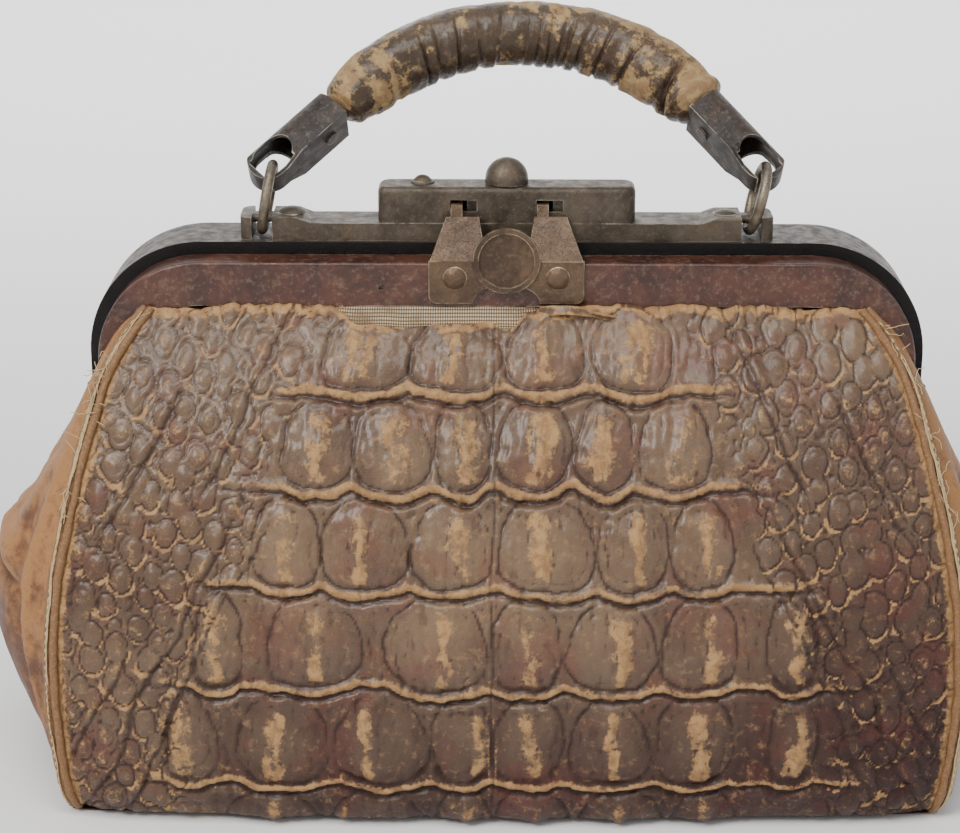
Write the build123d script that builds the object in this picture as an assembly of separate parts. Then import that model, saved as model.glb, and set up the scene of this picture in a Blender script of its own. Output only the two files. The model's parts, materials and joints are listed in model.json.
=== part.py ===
from build123d import *

import math
import os

# Doctor bag: gladstone-style bag with a two-part steel frame that opens like a
# jaw. A bar on the rear frame carries the lock case and a ring at each end, and
# the rings carry a leather grip. Millimetres. X is the width, -Y the front, +Z up.
# The origin is the middle of the base, on the ground.

# ---------------------------------------------------------------- driving sizes
FRAME_TOP = 200.0            # top of the rear frame above the ground
FRAME_HALF = 152.5           # half the outside width of the rear frame (12 inch frame)
FRAME_RADIUS = 42.0          # outside corner radius of the rear frame
SHEET = 1.4                  # frame sheet thickness
STEP_IN = 4.5                # the front frame is this much smaller all round
MATING_Y = -6.0              # plane where the two frames meet
REAR_FACE_Y = 22.0           # back face of the rear frame
FRONT_FACE_Y = -18.0         # front face of the front frame
FLANGE = 16.0                # width of the flat flange that holds the leather
NAIL_PLACE = (-45.0, 186.5)  # an empty nail hole in the front flange
NAIL_HOLE_R = 0.9
LIP = 7.0                    # width of the black lip that the front frame closes on
FRAME_GAP = 0.4              # gap between the closed frames

PIN_Y = -6.2                 # hinge axis, along X
PIN_Z = 140.0
PIN_R = 2.0
PIN_FIT = 0.05               # radial clearance of the hinge holes
EAR_R = 6.0                  # round end of each frame leg, about the hinge pin

LEATHER = 3.0                # leather and its stiffener
WALL_TOP = 128.0             # the wall below this is carried by the base
STRIP_LOW = 143.0            # lower edge of the strips that move with the frames
STRIP_HALF = (121.0, 132.0)   # half widths at the top and the bottom of a strip

BAR_HALF = 96.5
BAR_FRONT = -4.0
BAR_BACK = 13.0
BAR_HEIGHT = 6.5
PAD_RISE = 2.0
PAD_START = 76.0
SLOT_X = 88.5                # ring slots in the bar
SLOT_WIDTH = 7.4

NECK_Y = 4.5
NECK_Z = 206.7               # the rings hang on the neck left between the slots
RING_R = 11.8
WIRE_R = 1.9
RING_Z = 214.0               # height of the ring centres, the swing axis of the grip
TILT_LEFT = 10.0             # the rings lean to the right, with the grip
TILT_RIGHT = 14.0
GRIP_LEAN = 42.0             # the grip leans back

GRIP_SHIFT = 5.5             # the grip hangs a little to the right of the middle
GRIP_ARC_R = 85.0
GRIP_RISE = 69.0             # top of the grip centreline above the ring centres
GRIP_HALF = 63.0
GRIP_R = 12.0
CORE_R = 4.2
EYE_LEFT = (-85.8, 11.6)     # eye centres, across and up from the ring centres
EYE_RIGHT = (92.0, 11.9)
FERRULE_LENGTH = 32.5
FERRULE_R = 9.0
FERRULE_WALL = 1.5
FERRULE_FLAT = 6.5           # the flat leg lies this far inside the centreline

LOCK_HALF = 46.5
LOCK_FRONT = -4.0
LOCK_BACK = 12.0
LOCK_HEIGHT = 13.0
LOCK_WALL = 1.2
LOCK_EDGE_R = 2.3            # rounding of the pressed top edge
LATCH_X = 15.5               # middle of each latch slot
LATCH_SLOT = (9.6, 4.2)      # width and height of a latch slot
LATCH_Z = 213.0
PRONG = (4.2, 1.6)           # width and thickness of a hasp prong
BOLT_TRAVEL = 3.0
KNOB_R = 7.8

HASP_HALF = 27.8
HASP_FOOT_Z = 181.0
HASP_BEND_Z = 196.6
HASP_THICK = 1.5
HASP_CORNER_R = 3.0          # rounding of the feet
DISC_R = 12.0
RIVET_X = 18.4
RIVET_Z = 190.4

# Horizontal sections of the leather body: height, half width and half depth at the
# corner seams, the extra half depth in mid panel, and half width at the gusset nose.
BODY_SECTIONS = [
    (2.6, 157.0, 70.0, 3.0, 168.0),
    (25.0, 161.0, 71.5, 3.5, 184.0),
    (60.0, 163.0, 68.0, 4.5, 188.0),
    (95.0, 159.0, 60.5, 4.5, 180.0),
    (WALL_TOP, 153.0, 50.0, 4.0, 164.0),
]

BAR_TOP = FRAME_TOP + BAR_HEIGHT
LOCK_TOP = BAR_TOP + LOCK_HEIGHT
FRONT_TOP = FRAME_TOP - STEP_IN
FRONT_HALF = FRAME_HALF - STEP_IN
FRONT_RADIUS = FRAME_RADIUS - STEP_IN


# ------------------------------------------------------------------ small tools
def block(x0, x1, y0, y1, z0, z1):
    """A box between two corners."""
    size = Box(x1 - x0, y1 - y0, z1 - z0)
    return Pos((x0 + x1) / 2, (y0 + y1) / 2, (z0 + z1) / 2) * size


def rod_x(x0, x1, y, z, radius):
    """A cylinder along X."""
    return Pos((x0 + x1) / 2, y, z) * Rot(Y=90) * Cylinder(radius, x1 - x0)


def rod_y(y0, y1, x, z, radius):
    """A cylinder along Y."""
    return Pos(x, (y0 + y1) / 2, z) * Rot(X=90) * Cylinder(radius, y1 - y0)


def plate_y(sketch, y0, y1):
    """A sketch drawn in X and Z, as a plate from y0 to y1."""
    return extrude(Plane.XZ.offset(-y1) * sketch, y1 - y0, dir=(0, -1, 0))


def plate_x(sketch, x0, x1):
    """A sketch drawn in Y and Z, as a plate from x0 to x1."""
    return extrude(Plane.YZ.offset(x0) * sketch, x1 - x0, dir=(1, 0, 0))


def mirror_x(shape):
    return mirror(shape, about=Plane.YZ)


def dome(radius, height):
    """A rivet head: the cap of a sphere, flat on the XY plane."""
    ball_r = (radius**2 + height**2) / (2 * height)
    ball = Pos(0, 0, height - ball_r) * Sphere(ball_r)
    return ball & block(-ball_r, ball_r, -ball_r, ball_r, 0, height + 1)


# ----------------------------------------------------------------------- frames
def arch(inset, half, top, radius, bottom):
    """The filled inverted U inside a frame outline, shrunk by inset."""
    width = 2 * (half - inset)
    height = top - inset - bottom
    sketch = Pos(0, bottom + height / 2) * Rectangle(width, height)
    corners = sketch.vertices().group_by(Axis.Y)[-1]
    return fillet(corners, radius - inset)


def band(inset, width, half, top, radius, bottom):
    """An inverted U strip between two insets of a frame outline."""
    outer = arch(inset, half, top, radius, bottom)
    inner = arch(inset + width, half, top, radius, bottom - 1)
    return outer - inner


def rear_frame():
    """A channel bent to a U: rim, black front lip and rear flange."""
    outline = (FRAME_HALF, FRAME_TOP, FRAME_RADIUS, PIN_Z - EAR_R)
    rim = plate_y(band(0, SHEET, *outline), MATING_Y, REAR_FACE_Y)
    lip = plate_y(band(0, LIP, *outline), MATING_Y, MATING_Y + SHEET)
    flange = plate_y(band(0, FLANGE, *outline), REAR_FACE_Y - SHEET, REAR_FACE_Y)
    frame = rim + lip + flange
    back_edges = outer_bend(frame, REAR_FACE_Y, FRAME_HALF)
    frame = fillet(back_edges, SHEET * 0.9)
    taper = Polygon(
        (MATING_Y, FRAME_TOP + 1), (REAR_FACE_Y + 1, FRAME_TOP + 1), (REAR_FACE_Y + 1, 172.0),
        (PIN_Y + EAR_R * 0.8, PIN_Z - EAR_R), (MATING_Y, PIN_Z - EAR_R), align=None)
    frame = frame & plate_x(taper, -FRAME_HALF - 1, FRAME_HALF + 1)
    inside = FRAME_HALF - SHEET
    frame = frame - block(-inside, inside, MATING_Y - 1, MATING_Y + 8, PIN_Z - 10, PIN_Z + 9)
    return frame + ears(FRAME_HALF) - pin_holes()


def front_frame():
    """An angle bent to a U that closes on the lip of the rear frame."""
    outline = (FRONT_HALF, FRONT_TOP, FRONT_RADIUS, PIN_Z - EAR_R)
    back = MATING_Y - FRAME_GAP
    rim = plate_y(band(0, SHEET, *outline), FRONT_FACE_Y, back)
    flange = plate_y(band(0, FLANGE, *outline), FRONT_FACE_Y, FRONT_FACE_Y + SHEET)
    frame = rim + flange
    front_edges = outer_bend(frame, FRONT_FACE_Y, FRONT_HALF)
    frame = fillet(front_edges, SHEET * 0.9)
    taper = Polygon(
        (back, FRAME_TOP + 1), (FRONT_FACE_Y - 1, FRAME_TOP + 1), (FRONT_FACE_Y - 1, 164.0),
        (PIN_Y - EAR_R * 0.8, PIN_Z - EAR_R), (back, PIN_Z - EAR_R), align=None)
    frame = frame & plate_x(taper, -FRAME_HALF - 1, FRAME_HALF + 1)
    nail_hole = rod_y(FRONT_FACE_Y - 1, FRONT_FACE_Y + 3, *NAIL_PLACE, NAIL_HOLE_R)
    return frame + ears(FRONT_HALF) - pin_holes() - hasp_rivet_holes() - nail_hole


def outer_bend(frame, y, half):
    """The outside edges of a frame in the plane of one face, legs and top."""
    edges = []
    for edge in frame.edges():
        box = edge.bounding_box()
        flat = abs(box.min.Y - y) < 0.01 and abs(box.max.Y - y) < 0.01
        reach = max(abs(box.min.X), abs(box.max.X))
        top = FRAME_TOP - (FRAME_HALF - half)
        outside = reach > half - 0.01 and box.size.Z > 1
        crown = box.min.Z > top - 0.01
        if flat and (outside or crown):
            edges.append(edge)
    return edges


def ears(half):
    """Round ends of both legs, about the hinge pin."""
    disc = rod_x(half - SHEET, half, PIN_Y, PIN_Z, EAR_R)
    return disc + mirror_x(disc)


def pin_holes():
    return rod_x(-FRAME_HALF - 1, FRAME_HALF + 1, PIN_Y, PIN_Z, PIN_R + PIN_FIT)


def hinge_pin():
    """The right-hand pin: shank with an inner rivet head."""
    head_end = FRONT_HALF - SHEET - 0.2
    shank = rod_x(head_end - 0.1, FRAME_HALF + 1.4, PIN_Y, PIN_Z, PIN_R)
    head = rod_x(head_end - 1.6, head_end, PIN_Y, PIN_Z, 3.6)
    return shank + head


def hinge_washer():
    """Spacer between the two right-hand ears."""
    outer = rod_x(FRONT_HALF + 0.1, FRAME_HALF - SHEET - 0.1, PIN_Y, PIN_Z, 5.0)
    return outer - rod_x(FRONT_HALF, FRAME_HALF, PIN_Y, PIN_Z, PIN_R + 0.02)


# ------------------------------------------------------------------------- bar
def top_bar():
    """The handle bar, with raised end pads and a slotted neck for each ring."""
    low = Pos(0, FRAME_TOP + BAR_HEIGHT / 2) * Rectangle(2 * BAR_HALF, BAR_HEIGHT)
    rise = FRAME_TOP + BAR_HEIGHT + PAD_RISE
    pad = Polygon(
        (BAR_HALF, FRAME_TOP), (BAR_HALF, rise), (PAD_START, rise),
        (PAD_START - 5, BAR_TOP), (PAD_START - 5, FRAME_TOP), align=None)
    outline = low + pad + mirror(pad, about=Plane.YZ)
    bar = plate_y(outline, BAR_FRONT, BAR_BACK)
    ends = bar.edges().filter_by(Axis.Z).group_by(SortBy.LENGTH)[-1]
    bar = fillet(ends, 4.0)
    bar = chamfer(bar.faces().sort_by(Axis.Z)[-1].edges(), 0.5)
    for side in (-1, 1):
        x = side * SLOT_X
        half = SLOT_WIDTH / 2
        bar -= block(x - half, x + half, BAR_FRONT - 1, BAR_BACK + 1, FRAME_TOP - 1, rise + 1)
        neck = Pos(NECK_Y, NECK_Z) * SlotOverall(7.0, 3.0)
        bar += plate_x(neck, x - half - 0.5, x + half + 0.5)
    return bar


def bar_rivets():
    """The heads of the two rivets that hold the bar, on its end pads."""
    pad_top = BAR_TOP + PAD_RISE
    left = Pos(-78.0, NECK_Y, pad_top) * dome(5.2, 2.2)
    right = Pos(79.5, NECK_Y, pad_top) * dome(4.6, 1.2)
    return Compound(children=[left, right])


# ------------------------------------------------------------------------ lock
def lock_case():
    """A pressed steel case, open below, with two latch slots and a knob slot."""
    outer = block(-LOCK_HALF, LOCK_HALF, LOCK_FRONT, LOCK_BACK, BAR_TOP, LOCK_TOP)
    outer = fillet(outer.edges().filter_by(Axis.Z), 4.5)
    outer = fillet(outer.faces().sort_by(Axis.Z)[-1].edges(), LOCK_EDGE_R)
    wall = LOCK_WALL
    inner = block(-LOCK_HALF + wall, LOCK_HALF - wall, LOCK_FRONT + wall, LOCK_BACK - wall,
                  BAR_TOP - 1, LOCK_TOP - wall)
    inner = fillet(inner.edges().filter_by(Axis.Z), 3.4)
    case = outer - inner
    width, height = LATCH_SLOT
    for x in (-LATCH_X, LATCH_X):
        case -= block(x - width / 2, x + width / 2, LOCK_FRONT - 1, LOCK_FRONT + 2,
                      LATCH_Z - height / 2, LATCH_Z + height / 2)
    case -= block(-2.2 - BOLT_TRAVEL, 2.2, NECK_Y - 2.2, NECK_Y + 2.2, LOCK_TOP - 2, LOCK_TOP + 1)
    screw_hole = Pos(-30.5, NECK_Y + 1, LOCK_TOP - 1) * Cylinder(1.3, 6)
    return case - screw_hole


def lock_base_plate():
    """The plate that closes the case, on top of the bar."""
    gap = LOCK_WALL + 0.15
    plate = block(-LOCK_HALF + gap, LOCK_HALF - gap, LOCK_FRONT + gap, LOCK_BACK - gap,
                  BAR_TOP + 0.02, BAR_TOP + 1.2)
    return fillet(plate.edges().filter_by(Axis.Z), 3.3)


def lock_bolt():
    """The sliding bolt: a bar with one tongue beside each prong."""
    z0 = BAR_TOP + 1.4
    bar = block(-25, 28, 2.2, 7.5, z0, z0 + 2.6)
    for x in (-LATCH_X, LATCH_X):
        left = x + 1.2
        bar += block(left, left + 3.6, -1.6, 3.0, z0, LATCH_Z - 1.2)
        bar += block(left, left + 3.6, -1.6, 0.4, z0, LATCH_Z + 1.4)
    return bar


def lock_knob():
    """The round finger knob, on a stem that drives the bolt."""
    ball = Pos(0, NECK_Y, LOCK_TOP + 1.6) * Sphere(KNOB_R)
    ball = ball & block(-10, 10, -10, 20, LOCK_TOP + 1.6, LOCK_TOP + 12)
    foot = Pos(0, NECK_Y, LOCK_TOP + 0.95) * Cylinder(KNOB_R, 1.3)
    stem_low = BAR_TOP + 4.0
    stem = Pos(0, NECK_Y, (stem_low + LOCK_TOP + 1) / 2) * Cylinder(1.6, LOCK_TOP + 1 - stem_low)
    return ball + foot + stem


def bolt_spring():
    """The bowed leaf spring behind the bolt, which holds it wherever it is put."""
    thick = 0.4
    back = LOCK_BACK - LOCK_WALL - 0.1
    outer = ThreePointArc((-16, back), (0, 7.6), (16, back))
    inner = ThreePointArc((-16, back - thick), (0, 7.6 - thick + 0.35), (16, back - thick))
    ends = [Line(outer @ 0, inner @ 0), Line(outer @ 1, inner @ 1)]
    leaf = extrude(make_face([outer, inner, *ends]), 3.0)
    return Pos(0, 0, BAR_TOP + 1.6) * leaf


def lock_screw():
    """The slotted screw that holds the case down, with a dished washer."""
    x, y = -30.5, NECK_Y + 1
    head = Pos(x, y, LOCK_TOP + 0.6) * dome(3.4, 2.1)
    slot = block(x - 5, x + 5, y - 0.35, y + 0.35, LOCK_TOP + 1.9, LOCK_TOP + 6)
    shank = Pos(x, y, LOCK_TOP - 5.4) * Cylinder(1.25, 12.4)
    return head - slot + shank


def lock_washer():
    x, y = -30.5, NECK_Y + 1
    ring = Pos(x, y, LOCK_TOP + 0.32) * Cylinder(4.4, 0.56)
    ring = fillet(ring.edges().sort_by(Axis.Z)[-1], 0.4)
    return ring - Pos(x, y, LOCK_TOP) * Cylinder(1.35, 4)


# ------------------------------------------------------------------------ hasp
def hasp_plate():
    """The closing plate: two feet on the front frame and two bent prongs."""
    y1 = FRONT_FACE_Y - 0.02
    y0 = y1 - HASP_THICK
    outline = Polygon(
        (-HASP_HALF, HASP_FOOT_Z), (HASP_HALF, HASP_FOOT_Z), (HASP_HALF, HASP_BEND_Z),
        (-HASP_HALF, HASP_BEND_Z), align=None)
    outline = fillet(outline.vertices().group_by(Axis.Y)[0], HASP_CORNER_R)
    outline -= Pos(0, HASP_FOOT_Z) * Ellipse(12.0, 7.0)
    plate = plate_y(outline, y0, y1)
    reach_y = LOCK_FRONT - 1.4
    reach_z = LATCH_Z - 3.4
    side = Polygon(
        (y0, HASP_BEND_Z - 0.4), (reach_y - HASP_THICK, reach_z), (reach_y, LATCH_Z + PRONG[1] / 2),
        (LOCK_FRONT + 6.0, LATCH_Z + PRONG[1] / 2), (LOCK_FRONT + 6.0, LATCH_Z - PRONG[1] / 2),
        (reach_y + 0.6, LATCH_Z - PRONG[1] / 2), (reach_y, reach_z - 0.4),
        (y1, HASP_BEND_Z - 0.4), align=None)
    for side_x in (-1, 1):
        x = side_x * LATCH_X
        arm = plate_x(side, -HASP_HALF, HASP_HALF)
        front_view = Polygon(
            (side_x * HASP_HALF, HASP_BEND_Z - 1), (x + side_x * 6.2, reach_z),
            (x - side_x * 5.6, reach_z), (side_x * 7.0, HASP_BEND_Z - 1), align=None)
        prong_x = x - 2.5
        prong = Pos(prong_x, LATCH_Z) * Rectangle(PRONG[0], 9.0)
        view = plate_y(front_view, -30, 20)
        arm_low = arm & view & block(-40, 40, -30, 20, 0, reach_z)
        arm_high = arm & plate_y(prong, -30, 20) & block(-40, 40, -30, 20, reach_z - 0.01, 230)
        notch = block(prong_x + 0.6, prong_x + 5, -1.9, 0.7, LATCH_Z - 3, LATCH_Z + 3)
        plate += arm_low + (arm_high - notch)
    disc_y = y0 - 0.9
    disc = rod_y(disc_y, y0 + 0.4, 0, 197.0, DISC_R)
    disc -= rod_y(disc_y - 1, disc_y + 0.8, 0, 197.0, DISC_R - 2.0)
    plate += disc
    return plate - hasp_rivet_holes()


def hasp_rivet_holes():
    hole = rod_y(FRONT_FACE_Y - 4, FRONT_FACE_Y + 4, RIVET_X, RIVET_Z, 1.6)
    return hole + mirror_x(hole)


def hasp_rivets():
    face = FRONT_FACE_Y - HASP_THICK - 0.04
    head = Pos(RIVET_X, face, RIVET_Z) * Rot(X=90) * dome(4.3, 1.8)
    shank = rod_y(face - 0.1, FRONT_FACE_Y + SHEET + 0.05, RIVET_X, RIVET_Z, 1.55)
    rivet = head + shank
    return Compound(children=[rivet, mirror_x(rivet)])


# --------------------------------------------------------------- rings and grip
def ring(side, tilt):
    """A round wire ring in the bar's slot, leaning sideways by tilt degrees."""
    lean = math.radians(tilt)
    x = side * SLOT_X + (RING_Z - (FRAME_TOP + 4.5)) * math.tan(lean)
    torus = Rot(Y=90) * Torus(RING_R, WIRE_R)
    return Pos(x, NECK_Y, RING_Z) * Rot(Y=tilt) * torus


def grip_ends():
    """Both ends of the grip's arc, across and up from the swing axis."""
    drop = GRIP_ARC_R - math.sqrt(GRIP_ARC_R**2 - GRIP_HALF**2)
    left = (GRIP_SHIFT - GRIP_HALF, GRIP_RISE - drop)
    right = (GRIP_SHIFT + GRIP_HALF, GRIP_RISE - drop)
    return left, right


def lean_back(shape):
    """From the upright grip, drawn about the swing axis, to its place on the bag."""
    return Pos(0, NECK_Y, RING_Z) * Rot(X=-GRIP_LEAN) * shape


def ferrule_plane(eye, end):
    """Axes of one ferrule: X from the eye to the grip, Y outwards, Z across."""
    run = math.hypot(end[0] - eye[0], end[1] - eye[1])
    along = ((end[0] - eye[0]) / run, 0, (end[1] - eye[1]) / run)
    across = (0, -1, 0) if along[0] > 0 else (0, 1, 0)
    return Plane(origin=(eye[0], 0, eye[1]), x_dir=along, z_dir=across)


def ferrule_section(inset):
    """A D section, flat on the inner side of the grip."""
    radius = FERRULE_R - inset
    flat = FERRULE_FLAT - inset
    rest = Pos(-flat / 2, 0) * Rectangle(flat, 2 * radius)
    section = Circle(radius) + rest
    return section & Pos(10 - flat, 0) * Rectangle(20, 40)


def ferrule(eye, end):
    """A folded steel strap: half-round outside, flat inside, with a ring eye."""
    nose = FERRULE_R - 1.25
    middle = 1.25
    body = plate_x(ferrule_section(0), -nose - 1, FERRULE_LENGTH)
    body -= plate_x(ferrule_section(FERRULE_WALL), -nose + 2.0, FERRULE_LENGTH + 1)
    side_view = Pos(0, middle) * Circle(nose) + Pos(30, 0) * Rectangle(60, 40)
    body = body & extrude(side_view, 20, both=True)
    plan = Polygon(
        (-12, -5.2), (3, -5.2), (12, -FERRULE_R - 1), (60, -FERRULE_R - 1),
        (60, FERRULE_R + 1), (12, FERRULE_R + 1), (3, 5.2), (-12, 5.2), align=None)
    body = body & extrude(Plane.XZ * plan, 30, both=True)
    eye_slot = SlotCenterPoint((2.2, middle), (4.4, middle), 2 * (nose - 2.0))
    body -= extrude(eye_slot, 20, both=True)
    body = ferrule_plane(eye, end).location * body
    return lean_back(body) - ferrule_rivet(eye, end)


def ferrule_rivet(eye, end):
    """The rivet through the flat leg into the grip core."""
    plane = ferrule_plane(eye, end)
    low = -FERRULE_FLAT - 0.9
    shank = Pos(24, (low - 3.0) / 2, 0) * Rot(X=90) * Cylinder(1.4, -3.0 - low)
    head = Pos(24, low + 0.45, 0) * Rot(X=90) * Cylinder(2.6, 0.8)
    return lean_back(plane.location * (shank + head))


def grip_path(extra):
    """The grip centreline, with straight ends running on into the ferrules."""
    left, right = grip_ends()
    arc = ThreePointArc((left[0], 0, left[1]), (GRIP_SHIFT, 0, GRIP_RISE), (right[0], 0, right[1]))
    if extra == 0:
        return Wire([arc])
    start = arc @ 0 - (arc % 0) * extra
    finish = arc @ 1 + (arc % 1) * extra
    return Wire([Line(start, arc @ 0), arc, Line(arc @ 1, finish)])


def grip_roll(radius, extra):
    path = grip_path(extra)
    section = Plane(origin=path @ 0, z_dir=path % 0) * Circle(radius)
    return sweep(section, path=path)


def grip_core():
    """The stiff core, riveted into both ferrules."""
    core = lean_back(grip_roll(CORE_R, 18.0))
    left, right = grip_ends()
    return core - ferrule_rivet(EYE_LEFT, left) - ferrule_rivet(EYE_RIGHT, right)


def grip_leather():
    """The padded leather roll around the core."""
    roll = grip_roll(GRIP_R, 3.0) - grip_roll(CORE_R + 0.05, 30.0)
    return lean_back(roll)


# -------------------------------------------------------------- leather and lining
def section_outline(section, inset):
    """One horizontal section: two bowed panels and two bulging gussets."""
    z, half_x, half_y, bow, nose = section
    x = half_x - inset
    y = half_y - inset
    front = ThreePointArc((-x, -y, z), (0, -y - bow, z), (x, -y, z))
    right = ThreePointArc((x, -y, z), (nose - inset, 0, z), (x, y, z))
    rear = ThreePointArc((x, y, z), (0, y + bow, z), (-x, y, z))
    left = ThreePointArc((-x, y, z), (inset - nose, 0, z), (-x, -y, z))
    return make_face([front, right, rear, left])


def body_loft(inset):
    return loft([section_outline(section, inset) for section in BODY_SECTIONS])


def front_wedge(sign, slack):
    """The region between the corner seams, in front (-1) or behind (1)."""
    faces = []
    for z, half_x, half_y, _bow, _nose in BODY_SECTIONS:
        y = sign * half_y
        out = sign * 14
        corner = half_x - slack
        outline = Polyline(
            (-corner - 14, y + out, z), (corner + 14, y + out, z),
            (corner - 14, y - out, z), (-corner + 14, y - out, z), close=True)
        faces.append(make_face(outline))
    return loft(faces, ruled=True)


def body_walls():
    """Front panel, rear panel and the two gussets, cut apart at the corner seams."""
    shell = body_loft(0) - body_loft(LEATHER)
    front = shell & front_wedge(-1, 0.2)
    rear = shell & front_wedge(1, 0.2)
    sides = shell - front_wedge(-1, -0.2) - front_wedge(1, -0.2)
    left, right = sorted(sides.solids(), key=lambda solid: solid.center().X)
    return front, rear, left, right


def gusset_tongue():
    """The top of the right gusset: a tongue outside the hinge, down to the gusset."""
    outside = FRAME_HALF + 1.4
    sketch = Polygon(
        (PIN_Y - 12, PIN_Z + 6), (PIN_Y + 14, PIN_Z + 6), (30, WALL_TOP + 0.2),
        (-30, WALL_TOP + 0.2), align=None)
    return plate_x(sketch, outside, outside + 2.0)


def gusset_shelf():
    """Leather from the foot of the tongue out to the top of the gusset wall."""
    z, half_x, half_y, _bow, nose = BODY_SECTIONS[-1]
    face = section_outline(BODY_SECTIONS[-1], 0)
    shelf = extrude(face, 2.0)
    return shelf & block(FRAME_HALF + 1.4, nose + 1, -30, 30, z - 1, z + 3)


def base_leather():
    face = section_outline((0.0, 155.0, 68.0, 3.0, 165.0), 0)
    return extrude(face, 2.5)


def base_board():
    face = section_outline((2.62, 152.0, 65.0, 3.0, 163.0), 0)
    return extrude(face, 2.6)


def lining():
    """The cloth lining of the walls, just inside the leather."""
    shell = body_loft(LEATHER + 0.2) - body_loft(LEATHER + 1.0)
    return shell & block(-200, 200, -100, 100, 5.4, WALL_TOP - 1)


def welt(sign_x, sign_y):
    """The piped seam at one corner of the body."""
    points = []
    for z, half_x, half_y, _bow, _nose in BODY_SECTIONS:
        points.append((sign_x * (half_x + 1.6), sign_y * (half_y + 1.6), z))
    path = Wire([Spline(*points)])
    section = Plane(origin=path @ 0, z_dir=path % 0) * Circle(1.5)
    return sweep(section, path=path)


# --------------------------------------------------- strips that move with frames
def strip(sign, face_y, width):
    """The upper wall, from inside a frame flange down and outwards."""
    start_y = face_y - sign * 1.6
    hem_z = FRAME_TOP - 25.5
    low_y = sign * 45.0
    thick = sign * LEATHER
    side = Polygon(
        (face_y + sign * 0.6, hem_z), (low_y, STRIP_LOW), (low_y - thick, STRIP_LOW),
        (start_y - thick, hem_z), align=None)
    top, bottom = width
    view = Polygon((-top, hem_z), (top, hem_z), (bottom, STRIP_LOW), (-bottom, STRIP_LOW), align=None)
    return plate_x(side, -bottom, bottom) & plate_y(view, -60, 60)


def webbing(sign, face_y, thick):
    """Canvas tape between the frame flange and the leather."""
    y_near = face_y - sign * (thick + 0.1)
    y_far = y_near - sign * 1.0
    y0, y1 = sorted((y_near, y_far))
    return block(-104, 104, y0, y1, FRAME_TOP - 25.0, FRAME_TOP - 9.0)


def clamp_strip(sign, face_y, thick):
    """The steel strip riveted inside the flange, holding tape and leather."""
    y_near = face_y - sign * (thick + 1.2)
    y_far = y_near - sign * 1.0
    y0, y1 = sorted((y_near, y_far))
    return block(-104, 104, y0, y1, FRAME_TOP - 20.0, FRAME_TOP - 10.0)


# ----------------------------------------------------------------------- output
def build_nodes():
    front, rear, left, right = body_walls()
    tongue = gusset_tongue() + gusset_shelf()
    tongue -= pin_holes()
    left_end, right_end = grip_ends()
    nodes = {
        "rear_frame": rear_frame(),
        "front_frame": front_frame(),
        "hinge_pin_right": hinge_pin(),
        "hinge_pin_left": mirror_x(hinge_pin()),
        "hinge_washer_right": hinge_washer(),
        "hinge_washer_left": mirror_x(hinge_washer()),
        "top_bar": top_bar(),
        "bar_rivets": bar_rivets(),
        "lock_case": lock_case(),
        "lock_base_plate": lock_base_plate(),
        "lock_bolt": lock_bolt(),
        "lock_knob": lock_knob(),
        "bolt_spring": bolt_spring(),
        "lock_screw": lock_screw(),
        "lock_washer": lock_washer(),
        "hasp_plate": hasp_plate(),
        "hasp_rivets": hasp_rivets(),
        "ring_left": ring(-1, TILT_LEFT),
        "ring_right": ring(1, TILT_RIGHT),
        "ferrule_left": ferrule(EYE_LEFT, left_end),
        "ferrule_right": ferrule(EYE_RIGHT, right_end),
        "ferrule_rivet_left": ferrule_rivet(EYE_LEFT, left_end),
        "ferrule_rivet_right": ferrule_rivet(EYE_RIGHT, right_end),
        "grip_core": grip_core(),
        "grip_leather": grip_leather(),
        "front_panel": front,
        "rear_panel": rear,
        "gusset_left": left + mirror_x(tongue),
        "gusset_right": right + tongue,
        "base_leather": base_leather(),
        "base_board": base_board(),
        "lining": lining(),
        "front_panel_top": strip(-1, FRONT_FACE_Y, STRIP_HALF),
        "rear_panel_top": strip(1, REAR_FACE_Y, STRIP_HALF),
        "webbing_front": webbing(-1, FRONT_FACE_Y, SHEET),
        "webbing_rear": webbing(1, REAR_FACE_Y, SHEET),
        "clamp_strip_front": clamp_strip(-1, FRONT_FACE_Y, SHEET),
        "clamp_strip_rear": clamp_strip(1, REAR_FACE_Y, SHEET),
    }
    for name_x, sign_x in (("left", -1), ("right", 1)):
        for name_y, sign_y in (("front", -1), ("rear", 1)):
            nodes[f"welt_{name_y}_{name_x}"] = welt(sign_x, sign_y)
    return nodes


os.makedirs("parts", exist_ok=True)
for name, shape in build_nodes().items():
    export_step(shape, f"parts/{name}.step")
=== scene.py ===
import json
import math
import random

import bpy
import numpy as np
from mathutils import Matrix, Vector


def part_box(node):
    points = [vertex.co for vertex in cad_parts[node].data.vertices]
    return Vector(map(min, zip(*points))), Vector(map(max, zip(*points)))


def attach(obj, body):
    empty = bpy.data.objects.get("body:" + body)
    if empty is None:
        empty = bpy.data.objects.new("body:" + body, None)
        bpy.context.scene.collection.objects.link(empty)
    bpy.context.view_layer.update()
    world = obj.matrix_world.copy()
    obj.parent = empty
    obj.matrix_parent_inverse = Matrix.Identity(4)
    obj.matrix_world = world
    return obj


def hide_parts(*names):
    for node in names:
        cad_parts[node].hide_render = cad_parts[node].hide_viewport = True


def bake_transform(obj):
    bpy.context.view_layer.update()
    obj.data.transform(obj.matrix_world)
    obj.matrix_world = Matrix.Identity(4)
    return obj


# An old doctor bag in crocodile hide. The frame, lock, bar, rings and ferrules are
# the CAD nodes, given worn-metal materials. The leather body, its seams, the canvas
# tape, the lining and the grip are built here. Sizes are in millimetres (MM turns
# them into metres); X is the width, -Y the front and +Z up.

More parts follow.
